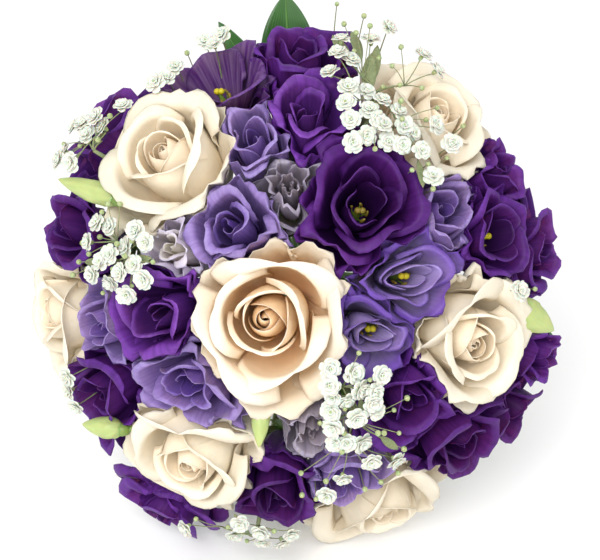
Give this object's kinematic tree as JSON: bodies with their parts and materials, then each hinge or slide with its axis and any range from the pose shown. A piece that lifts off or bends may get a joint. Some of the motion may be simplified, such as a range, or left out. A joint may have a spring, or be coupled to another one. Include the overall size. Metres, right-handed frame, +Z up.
{
  "type": "bridal bouquet",
  "caption": "Round hand-tied bridal bouquet of ivory roses, violet and lilac lisianthus, gypsophila and leaves, its stems wrapped in ribbon, lying on its side",
  "frame": {"origin": "on the table top, under the middle of the bounding box of the lying bouquet", "axes": "+Z up from the table; -Y the way the blooms face; +Y along the stems towards their cut ends; +X to the right as one looks into the blooms"},
  "size_m": [0.2744, 0.33, 0.2508],
  "materials": {
    "rose_petal": "ivory, satin",
    "purple_petal": "deep violet, satin",
    "lilac_petal": "pale violet, satin",
    "grey_petal": "dull greyish violet",
    "gypsophila": "white, matte",
    "stem": "green, satin",
    "leaf": "dark green, waxy",
    "ribbon": "ivory satin",
    "twine": "natural twine, matte"
  },
  "bodies": {
    "root": {"grey_lower": "grey_petal", "grey_upper": "grey_petal", "gypsophila_bottom": "gypsophila", "gypsophila_far_left": "gypsophila", "gypsophila_left": "gypsophila", "gypsophila_lower_right": "gypsophila", "gypsophila_upper_right": "gypsophila", "lilac_centre_left": "lilac_petal", "lilac_centre_right": "lilac_petal", "lilac_left": "lilac_petal", "lilac_lower": "lilac_petal", "lilac_lower_left": "lilac_petal", "lilac_right": "lilac_petal", "lilac_small": "lilac_petal", "lilac_upper": "lilac_petal", "lilac_upper_right": "lilac_petal", "purple_bottom": "purple_petal", "purple_bottom_left": "purple_petal", "purple_far_left": "purple_petal", "purple_heart": "purple_petal", "purple_left": "purple_petal", "purple_left_rim": "purple_petal", "purple_lower": "purple_petal", "purple_lower_left": "purple_petal", "purple_lower_right": "purple_petal", "purple_right_lower": "purple_petal", "purple_right_rim": "purple_petal", "purple_right_small": "purple_petal", "purple_right_upper": "purple_petal", "purple_top": "purple_petal", "purple_top_left": "purple_petal", "purple_upper": "purple_petal", "purple_upper_right": "purple_petal", "ribbon": "ribbon", "rose_bottom": "rose_petal", "rose_centre": "rose_petal", "rose_left": "rose_petal", "rose_lower_left": "rose_petal", "rose_right": "rose_petal", "rose_upper_left": "rose_petal", "rose_upper_right": "rose_petal", "ruscus_right": "leaf", "ruscus_top": "leaf", "stem_bottom": "stem", "stem_heart": "stem", "stem_left": "stem", "stem_left_rim": "stem", "stem_lilac_upper": "stem", "stem_lower_left": "stem", "stem_lower_right": "stem", "stem_right": "stem", "stem_rose_bottom": "stem", "stem_rose_centre": "stem", "stem_rose_left": "stem", "stem_rose_lower_left": "stem", "stem_rose_right": "stem", "stem_rose_upper_left": "stem", "stem_rose_upper_right": "stem", "stem_top": "stem", "tie": "twine"}
  },
  "joints": []
}
